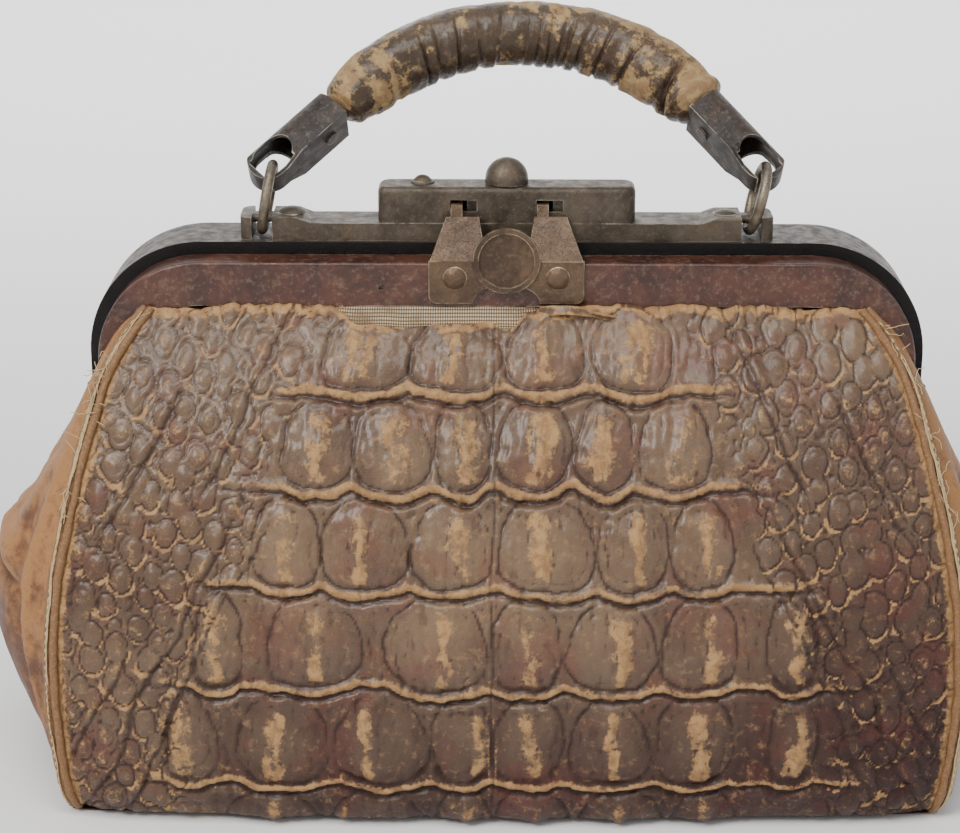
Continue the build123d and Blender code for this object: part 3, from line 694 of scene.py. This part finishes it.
def panel_finish(relief, side, edge, hem):
    """A panel's wear, creases and tone: rubbed seams and hem, darker foot, faded middle, and
    painted sheen towards the top.
    """
    x, z = relief.x, relief.z
    wear = np.maximum(relief.wear, np.maximum(1.0 - hem, 0.8 * ramp(side, 0.955, 0.985)))
    foot = ramp(9 + 3 * noise(x, z, 22, relief.seed + 72) - z, 0, 5)
    wear = np.maximum(wear * (1 - 0.5 * foot), 0.3 * foot)
    wear = wear + 0.14 * ramp(-x, 70, 130) * relief.patchy * (1 - ramp(z, 120, 160))
    crease = np.maximum(relief.crease * (0.3 + 0.7 * edge), 0.42 * foot)
    dark_side = ramp(x, 10, 140) * (1 - ramp(z, 60, 150))
    faded = 0.42 * bell(z - 84, 36) * (1 - ramp(np.abs(x), 78, 112))
    faded = faded + 0.28 * ramp(-x, 85, 120) * (1 - ramp(z, 60, 95))
    # Lightness: higher towards the top, where the grey-tan is partly the hide's own colour and
    # partly painted sheen from the light above; raised relief a little lighter, the lower right
    # darker, the middle paler.
    tone_and_painted_sheen = 0.75 * np.clip(z / 170, 0, 1) + 0.12 * relief.height - 0.16 * dark_side + faded
    return {"wear": wear, "crease": crease, "height": tone_and_painted_sheen}


def turned_edge(points, sign):
    """Rows that turn a panel's top edge in, or tuck it behind the flange where it is held."""
    turned = []
    held = 1 - ramp(np.abs(points[-1, :, 0]), 98, 108)
    if sign < 0:
        held = held * (1 - sagging(points[-1, :, 0]))
    behind = FLANGE_BACK[sign]
    for turn, tuck, rise in ((0.7, 0.3, 0.3), (1.7, 0.7, 0.3), (2.4, 1.0, 0.5), (2.6, 1.0, 7.0)):
        row = points[-1].copy()
        plain_y = row[:, 1] - sign * turn
        tucked_y = row[:, 1] + (behind - row[:, 1]) * tuck
        row[:, 1] = plain_y + (tucked_y - plain_y) * held
        row[:, 2] += (rise + 0.1) * held - 0.12 * turn ** 2 * (1 - held)
        turned.append(row[None])
    return turned


def corner_line(side, sign, count):
    """Points of a corner seam, from the base up to the frame."""
    depth, height = along(PROFILES[sign], count)
    upper = ramp(height, 120, 178)
    x = side * width_at(SEAM_WIDTH, height)
    y = sign * (depth - 9.0 * (1 - 0.75 * upper))
    return np.stack([x, y, height], 1)


def gusset_half(side, sign):
    """Half of a gusset, from a corner seam to the fold line above the hinge."""
    rows, columns = 190, 84
    seam = corner_line(side, sign, rows)
    share = np.linspace(0, 1, columns)
    points = np.zeros((rows, columns, 3))
    middle_top = PIN_Z + 6.0
    for i, corner in enumerate(seam):
        z_mid = middle_top * (corner[2] / seam[-1, 2])
        nose = float(width_at(NOSE_WIDTH, z_mid))
        if side < 0:
            nose += LEFT_BULGE * bell(z_mid - 66, 42)
        swell = np.sin(share * math.pi / 2) ** 0.85
        points[i, :, 0] = side * (abs(corner[0]) + (nose - abs(corner[0])) * swell)
        points[i, :, 1] = corner[1] + (PIN_Y - corner[1]) * share
        points[i, :, 2] = corner[2] + (z_mid - corner[2]) * ramp(share, 0.0, 0.85)
    return gusset_skin(points, side, sign, share)


def gusset_skin(points, side, sign, share):
    """Folds, creases and wear of a gusset half, on its swept shape."""
    rows, columns, _three = points.shape
    normal = grid_normals(points)
    if (normal[rows // 2, columns // 2, 0] < 0) == (side > 0):
        normal = -normal
    z = points[..., 2]
    inward = np.repeat(share[None, :], rows, 0)
    seed = 300 + 7 * side + 3 * sign
    run = inward * 80
    fold = bell(run - 14 - 3 * noise(z, 0, 40, seed), 3.2) * bell(z - 78, 48)
    valley = bell(run - 24, 5.5) * bell(z - 78, 48)
    roll_z = 86 + 8 * inward
    roll = bell(z - roll_z, 5.0) * ramp(inward, 0.15, 0.5)
    tuck = bell(z - roll_z + 8, 2.2) * ramp(inward, 0.15, 0.5)
    lines = cloudy(run * 0.25, z, 5.5, seed + 1, 3)
    creases = ramp(-lines, 0.28, 0.6) * ramp(inward, 0.05, 0.3)
    soft = cloudy(run, z, 34, seed + 2, 3)
    height = 2.0 * fold - 1.6 * valley + 2.6 * roll - 2.4 * tuck + 0.5 * lines + 1.2 * soft
    height *= ramp(inward, 0.0, 0.12) * ramp(1 - inward, 0.0, 0.08) * ramp(z, 1.0, 12.0)
    height *= 1 - 0.85 * ramp(z, 118, 138)
    points = points + normal * height[..., None]
    flip = normal[rows // 2, columns // 2] @ grid_normals(points)[rows // 2, columns // 2] < 0
    piece = grid_piece(f"gusset_{WALLS[sign]}_{ENDS[side]}", points, GUSSET, flip)
    wear = 0.22 + 0.5 * ramp(z + 14 * soft, 40, 130) + 0.5 * fold + 0.25 * roll
    wear = wear + 0.25 * (1 - ramp(inward, 0.0, 0.2)) + 0.3 * lines
    paint(piece, wear=wear, crease=np.maximum(0.55 * creases, 0.9 * tuck))
    return piece


def tube(path, radius, sides):
    """Rings of points along a path, with caps, as points and faces."""
    path = np.asarray(path, float)
    count = len(path)
    radius = np.broadcast_to(radius, count)
    heading = np.gradient(path, axis=0)
    heading /= np.linalg.norm(heading, axis=1, keepdims=True)
    side = np.cross(heading[0], (0.3, 0.2, 0.93))
    points = []
    for i in range(count):
        side = side - heading[i] * (side @ heading[i])
        side /= np.linalg.norm(side)
        up = np.cross(heading[i], side)
        for k in range(sides):
            angle = 2 * math.pi * k / sides
            points.append(path[i] + radius[i] * (math.cos(angle) * side + math.sin(angle) * up))
    return points, grid_faces(count, sides, wrap_columns=True) + end_caps(count, sides)


def join_parts(parts):
    """Several (points, faces) as one."""
    points, faces = [], []
    for part_points, part_faces in parts:
        start = len(points)
        points.extend(part_points)
        faces.extend(tuple(start + index for index in face) for face in part_faces)
    return points, faces


def seam_axes(side, sign):
    """Directions out of a corner seam and across it."""
    return np.array([side * 0.75, sign * 0.66, 0.0]), np.array([side * 0.66, -sign * 0.75, 0.0])


def welt(side, sign):
    """A corner seam's two leather edges."""
    line = corner_line(side, sign, 260)
    out, across = seam_axes(side, sign)
    parts = []
    for offset, radius, proud in ((-1.6, 1.5, 0.3), (1.3, 1.55, 0.9)):
        seed = round(190 + side + 2 * sign + 9 * offset)
        wobble = cloudy(line[:, 2], 3, 9, seed)
        sway, stand = offset + 0.7 * wobble, proud + 0.5 * wobble
        path = line + np.outer(sway, across) + np.outer(stand, out)
        parts.append(tube(path, radius + 0.4 * np.roll(wobble, 9), 9))
    points, faces = join_parts(parts)
    points = np.array(points)
    points[:, 2] = np.maximum(points[:, 2], REST)
    return new_mesh(f"welt_piece_{WALLS[sign]}_{ENDS[side]}", points, faces, WELT)


def seam_threads(side, sign):
    """Stitches along a corner seam, and frayed ends near its top."""
    line = corner_line(side, sign, 200)
    out, across = seam_axes(side, sign)
    rng = random.Random(177 + 3 * side + sign)
    parts = []
    for i in range(4, 196, 3):
        a, b = line[i] + 2.3 * out, line[i + 1] + 2.4 * out
        step = (b - a) * 1.6
        parts.append(tube([a, a + 0.5 * step + 0.25 * out, a + step], 0.3, 6))
    for _strand in range(5):
        drift = rng.uniform(0, 400) + line[:, 2]
        low_end = rng.randint(0, 110)
        side_step = 1.6 * cloudy(drift, 0, 15, 500 + side, 3)
        stand = 2.3 + 0.5 * cloudy(drift, 7, 9, 520 + sign, 3)
        path = line + np.outer(side_step, across) + np.outer(stand, out)
        parts.append(tube(path[low_end:rng.randint(150, 199)], 0.27, 5))
    for _count in range(44):
        start = line[rng.randint(120, 196)] + 2.4 * out
        drift = np.array([rng.uniform(-1, 1) * 0.6, sign * rng.uniform(-0.2, 0.5),
                          rng.uniform(-1, 0.7)])
        path = [start]
        for _step in range(10):
            drift = drift + np.array([rng.uniform(-0.5, 0.5) for _axis in range(3)])
            path.append(path[-1] + drift / np.linalg.norm(drift) * rng.uniform(0.5, 1.1))
        parts.append(tube(path, 0.14, 5))
    return new_mesh(f"threads_{WALLS[sign]}_{ENDS[side]}", *join_parts(parts), THREAD)


def bend_with(piece):
    """Bakes a leather piece's placement into its points."""
    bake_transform(piece)


def build_body():
    for sign, seed, step in ((-1, 11, 0.82), (1, 23, 1.15)):
        label = WALLS[sign]
        panel = hide_panel(sign, seed, step)
        bend_with(panel)
        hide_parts(f"{label}_panel", f"{label}_panel_top")
        for side, where in ENDS.items():
            gusset = gusset_half(side, sign)
            bend_with(gusset)
            seam = welt(side, sign)
            bend_with(seam)
            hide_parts(f"welt_{label}_{where}")
            bend_with(seam_threads(side, sign))
            if sign < 0:
                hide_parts(f"gusset_{where}")


def build_base():
    """The flat underside."""
    half_x, half_y = 158.0, 66.0
    u, v = even_grid((-1, 1), (-1, 1), 160, 70)
    px, py = half_x * u, half_y * v * (1 - 0.04 * u ** 8)
    pz = 0.9 + 0.25 * cloudy(px, py, 30, 71, 3)
    piece = grid_piece("base_skin", np.stack([px, py, pz], 2), GUSSET, True)
    creases = 0.4 * ramp(cloudy(px, py, 9, 73, 3), 0.2, 0.6)
    paint(piece, wear=0.25 + 0.3 * cloudy(px, py, 60, 72, 3), crease=creases)
    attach(piece, "bag_body")
    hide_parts("base_leather")


def lining_panel(sign):
    """The cloth lining inside one wall, set a little in from the hide and a little narrower."""
    points, x, z = panel_grid(sign, 90, 60)
    points[..., 1] -= sign * 3.6
    points[..., 0] *= 0.982
    points[..., 2] = np.maximum(points[..., 2] - 0.6, 5.6)
    points[..., 1] += 0.5 * cloudy(x, z, 22, 140 + sign, 3)
    piece = grid_piece(f"lining_{WALLS[sign]}", points, LINING, sign < 0)
    set_uv(piece, x / 100, z / 100)
    bend_with(piece)
    return piece


def web_fan(side, sign):
    """The pleated end wall between the frames."""
    depth = (FRONT_FACE + 3.0 - PIN_Y) if sign < 0 else (REAR_FACE - 3.0 - PIN_Y)
    folds = 6 if sign < 0 else 10
    across, rise = even_grid((0, 1), (0, 1), 40, 26)
    z = PIN_Z + 1.0 + rise * 36.0
    reach = np.interp(z, [PIN_Z, PIN_Z + 12, PIN_Z + 40], [0.25, 0.8, 1.0])
    pleat = 2.4 * np.sin(across * math.pi * folds) * np.minimum(1.0, rise * 4)
    inset = 7.0 + 10.0 * np.maximum(0.0, rise - 0.55)
    x, y = side * (FRAME_HALF - 5.0 - inset + pleat), PIN_Y + depth * reach * across
    name = f"web_{ENDS[side]}_{WALLS[sign]}"
    piece = grid_piece(name, np.stack([x, y, z], 2), GUSSET)
    paint(piece, wear=0.45, crease=0.1)
    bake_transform(piece)


def build_inside():
    front = lining_panel(-1)
    lining_panel(1)
    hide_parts("lining")
    for side in ENDS:
        for sign in WALLS:
            web_fan(side, sign)


def sagging(x):
    """1 where the front tape has come loose from under the hide, 0 elsewhere."""
    return ramp(x, -68, -52) * (1 - ramp(x, 2, 15))


def canvas_tape(sign):
    """The tape behind a frame flange; in front it has pulled out and sags."""
    label = WALLS[sign]
    low, high = (Vector(v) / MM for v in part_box(f"webbing_{label}"))
    u, v = even_grid((-1, 1), (0, 1), 300, 36)
    x = u * high.x
    loose = sagging(x) if sign < 0 else np.zeros_like(x)
    edge = low.z + 0.4 * noise(x, 0, 5, 210) - loose * (2.2 + 0.8 * noise(x, 0, 16, 212))
    z = high.z - v * (high.z - edge)
    swell = ramp(180.4 - z, 0, 5.5) * (7.0 + 0.8 * noise(x, z, 9, 211))
    y = (low.y + high.y) / 2 + sign * loose * swell
    piece = grid_piece(f"canvas_tape_{label}", np.stack([x, y, z], 2), CANVAS, sign > 0)
    set_uv(piece, x / 100, z / 100)
    thicken(piece, 0.7)
    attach(piece, JAWS[sign])
    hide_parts(f"webbing_{label}")


def torn_strip():
    """A curled end of torn hide, hanging from the flange beside the hasp."""
    u, v = even_grid((0, 1), (-0.5, 0.5), 60, 8)
    width = 3.4 * (1 - 0.75 * u ** 2) + 0.4 * noise(u * 40, v, 5, 601)
    x = 12.0 + 31.0 * u
    z = 178.6 + 2.4 * np.sin(u * 5.2) * u + width * v
    y = FRONT_FACE - 1.6 - 3.2 * np.sin(u * math.pi) + 1.6 * v * np.sin(u * 6)
    piece = grid_piece("torn_strip", np.stack([x, y, z], 2), HIDE, True)
    paint(piece, wear=0.25 + 0.9 * np.abs(v), crease=0.15, height=0.6)
    thicken(piece, 0.9)
    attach(piece, "front_frame")


# ---------------- grip
GRIP_SHIFT = 5.5                     # the grip hangs a little to the right
GRIP_ARC_R = 85.0
GRIP_RISE = 69.0                     # top of its middle line above the swing axis
GRIP_HALF = 63.0
GRIP_LEAN = math.radians(42)
ROLL_R = 12.2
ROLL_OVERHANG = 6.0                  # the roll runs this far past its half width, along the arc


def grip_point(across, up, out):
    """From the grip's own plane (across, up) and outwards, to its leaning place."""
    y = SWING_Y + up * math.sin(GRIP_LEAN) + out * math.cos(GRIP_LEAN)
    z = SWING_Z + up * math.cos(GRIP_LEAN) - out * math.sin(GRIP_LEAN)
    return np.stack([across, y, z], -1)


def around_noise(run, around, cell, seed, octaves=3):
    """Noise on the roll that joins up all the way round."""
    first = cloudy(run, 13 * np.sin(around), cell, seed, octaves)
    second = cloudy(run + 40, 13 * np.cos(around), cell, seed + 5, octaves)
    return 0.75 * (first + second)


def roll_relief(run, around, end):
    """Radius, wear and crease of the roll: folds, flayed patches, a torn end and a seam."""
    radial = np.sin(around)
    radius = ROLL_R - 2.4 * (1 - ramp(end, 0.0, 0.2)) - 2.6 * bell(end, 0.02)
    bent = run + 2.2 * np.cos(around + 0.6) + 1.2 * around_noise(run, around, 12, 405)
    folds = np.abs(noise(bent, 0.5 * np.sin(around), 4.2, 400))
    folds = 1 - np.clip(folds * 2.2, 0, 1)
    zone = np.clip(bell(run + 36, 22) + bell(run - 34, 24) + 0.3, 0, 1)
    inner = ramp(-radial, -0.5, 0.8)
    depth = folds * zone * (0.06 + 0.94 * inner)
    crumple = around_noise(run, around, 6.0, 401, 4)
    patch = around_noise(run, around, 30, 402, 4)
    flayed = ramp(patch + 0.5 * around_noise(run, around, 8, 406), 0.0, 0.3)
    radius = radius - 1.5 * depth + 0.45 * crumple - 0.35 * flayed
    radius = radius + 0.9 * around_noise(run * 0.7, around, 34, 407, 2)
    tear = bell(run - 66 - 4 * np.cos(around), 1.8) * ramp(np.cos(around + 2.2), -0.2, 0.7)
    radius = radius - 2.2 * tear + 1.4 * bell(run - 71.0 - 2 * np.sin(around), 2.2) * (end > 0.03)
    seam = bell((around - 1.1 + math.pi) % (2 * math.pi) - math.pi, 0.05)
    radius = radius - 0.7 * seam
    glossy = bell(run - 4, 30) * ramp(0.75 - radial, 0, 0.6)
    wear = 0.16 + 0.75 * flayed + 0.3 * ramp(radial, 0.1, 0.9) - 0.45 * glossy
    wear = wear + 0.22 * bell(np.abs(run) - 62, 9) + 0.35 * zone * ramp(crumple, 0.05, 0.4)
    wear = wear + 0.3 * bell(radius - 13.0, 0.4) - 0.3 * depth
    wear = wear - 0.5 * bell(run + 44, 15) + 0.32 * bell(run - 42, 17)
    lines = np.maximum(0.8 * seam, np.maximum(0.55 * depth, tear))
    return radius, wear, np.maximum(lines, 0.6 * ramp(-crumple, 0.25, 0.6))


def build_grip():
    """The stuffed leather roll: wrinkled, rubbed pale on top, with a back seam; painted light on
    top and painted shade underneath.
    """
    rows, columns = 420, 128
    reach = math.asin(GRIP_HALF / GRIP_ARC_R) + ROLL_OVERHANG / GRIP_ARC_R
    last_turn = 2 * math.pi * (columns - 1) / columns
    around, angle = even_grid((0, last_turn), (-reach, reach), columns, rows)
    end = 1 - np.abs(angle) / reach
    radius, wear, crease = roll_relief(angle * GRIP_ARC_R, around, end)
    from_middle = GRIP_ARC_R + radius * np.sin(around)
    across = GRIP_SHIFT + from_middle * np.sin(angle)
    up = GRIP_RISE - GRIP_ARC_R + from_middle * np.cos(angle)
    points = grip_point(across, up, radius * np.cos(around))
    faces = grid_faces(rows, columns, wrap_columns=True) + end_caps(rows, columns)
    piece = new_mesh("grip_roll", points, faces, GRIP)
    # The "height" value here is painted light and shade: lighter on top of the roll, darker on its
    # underside.
    paint(piece, wear=wear, crease=crease, height=0.55 + 0.35 * np.sin(around))
    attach(piece, "grip")
    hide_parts("grip_leather")


# ---------------- metal materials
def dress_cad():
    """Worn steel on the CAD nodes that show."""
    japan = worn_metal("japanned_brown", (86, 50, 37), (54, 29, 22), (104, 80, 60),
                       (214, 190, 164), metallic=0.15, rough=(0.3, 0.5), coat=0.3)
    rear = worn_metal("rear_frame_steel", (78, 68, 58), (48, 41, 35), (96, 74, 54),
                      (160, 146, 128), metallic=0.4, rough=(0.36, 0.62), dark_front=True)
    bar = worn_metal("bar_steel", (92, 82, 69), (62, 53, 44), (106, 86, 64),
                     (186, 178, 160), metallic=0.45, rough=(0.34, 0.58))
    wire = worn_metal("wire_steel", (140, 130, 112), (84, 74, 62), (120, 92, 66),
                      (206, 198, 180), metallic=0.75, rough=(0.26, 0.5))
    strap = worn_metal("ferrule_steel", (62, 52, 45), (34, 28, 26), (84, 62, 46),
                       (206, 196, 182), metallic=0.0, rough=(0.36, 0.58), specular=0.3)
    hasp = worn_metal("hasp_steel", (98, 78, 60), (68, 53, 42), (120, 92, 66),
                      (196, 178, 150), metallic=0.45, rough=(0.3, 0.55))
    board = plain_leather("board", (150, 126, 96), (96, 76, 54))
    looks = {
        japan: "front_frame",
        rear: "rear_frame hinge_pin_left hinge_pin_right hinge_washer_left hinge_washer_right "
              "clamp_strip_front clamp_strip_rear lock_base_plate bolt_spring",
        bar: "top_bar bar_rivets lock_case lock_bolt lock_knob lock_screw lock_washer",
        wire: "ring_left ring_right",
        strap: "ferrule_left ferrule_right ferrule_rivet_left ferrule_rivet_right",
        hasp: "hasp_plate hasp_rivets",
        board: "base_board grip_core",
    }
    for material, names in looks.items():
        for name in names.split():
            node = frame["nodes"][name]
            node.data.materials.clear()
            node.data.materials.append(material)


# ---------------- stage and camera
def flat_material(name, color, roughness):
    return Nodes(name).finish(color, roughness)


def build_stage():
    """A pale floor that curves up behind the bag."""
    wide, deep, back, top = 6.0, 4.0, 2.6, 3.4
    outline = [(-deep, 0.0), (back - 1.2, 0.0)]
    for k in range(1, 13):
        angle = math.pi / 2 * k / 12
        outline.append((back - 1.2 + 1.2 * math.sin(angle), 1.2 - 1.2 * math.cos(angle)))
    outline.append((back, top))
    points = [(x / MM, y / MM, z / MM) for y, z in outline for x in (-wide, wide)]
    faces = [(2 * i, 2 * i + 1, 2 * i + 3, 2 * i + 2) for i in range(len(outline) - 1)]
    floor = new_mesh("floor", points, faces, flat_material("pale_paper", (240, 240, 240), 0.9))


def area_light(name, place, aim, size, power, color=(1, 1, 1)):
    data = bpy.data.lights.new(name, "AREA")
    data.shape = "RECTANGLE"
    data.size, data.size_y = size
    data.energy = power
    data.color = color
    light = add_to_scene(name, data)
    light.location = place
    light.rotation_euler = (Vector(aim) - Vector(place)).to_track_quat("-Z", "Y").to_euler()


def build_lights():
    world = bpy.data.worlds.new("studio")
    world.use_nodes = True
    background = world.node_tree.nodes["Background"]
    background.inputs["Color"].default_value = (0.86, 0.87, 0.9, 1)
    background.inputs["Strength"].default_value = 0.62
    bpy.context.scene.world = world
    area_light("overhead", (-0.1, -0.5, 1.4), (0, 0, 0.1), (0.9, 0.5), 10)
    area_light("key", (-0.8, -0.95, 1.2), (0, 0, 0.12), (0.6, 0.5), 18, (1.0, 0.96, 0.91))
    area_light("fill", (1.3, -1.0, 0.7), (0, 0, 0.1), (0.9, 0.9), 4)
    area_light("backdrop", (0, 0.7, 1.6), (0, 3.0, 0.9), (3.0, 1.0), 95)


def build_camera():
    """The viewpoint: in front, a little above, about 0.9 m away."""
    data = bpy.data.cameras.new("camera")
    data.lens = 90.0
    data.sensor_width = 36.0
    data.clip_start = 0.01
    camera = add_to_scene("camera", data)
    camera.location = (-0.0008, -0.8434, 0.4299)
    pitch = math.radians(19.5)
    yaw = math.radians(0.6)
    camera.rotation_euler = (math.pi / 2 - pitch, 0, yaw)
    bpy.context.scene.camera = camera


# ---------------- build
# The first two colours of each hide are its high and low ends, mixed by the "height" point value:
# partly painted sheen on the panels, painted light and shade on the grip.
HIDE = hide("crocodile", (118, 96, 74), (44, 20, 18), (176, 139, 94), (66, 45, 38))
GRIP = hide("grip_leather_worn", (92, 77, 58), (56, 43, 33), (168, 140, 98),
            (52, 41, 32), glaze=0.24, ruddy=0.12)
GUSSET = plain_leather("gusset_leather", (156, 112, 70), (88, 54, 38))
WELT = plain_leather("welt_leather", (196, 164, 118), (122, 88, 58), 160.0)
THREAD = flat_material("linen_thread", (186, 164, 124), 0.8)
CANVAS = woven("canvas", (214, 198, 168), (104, 84, 62), 36.0)
LINING = woven("lining_cloth", (140, 114, 84), (96, 74, 52), 60.0)

build_body()
build_base()
build_inside()
for wall in WALLS:
    canvas_tape(wall)
torn_strip()
build_grip()
dress_cad()
build_stage()
build_lights()
build_camera()
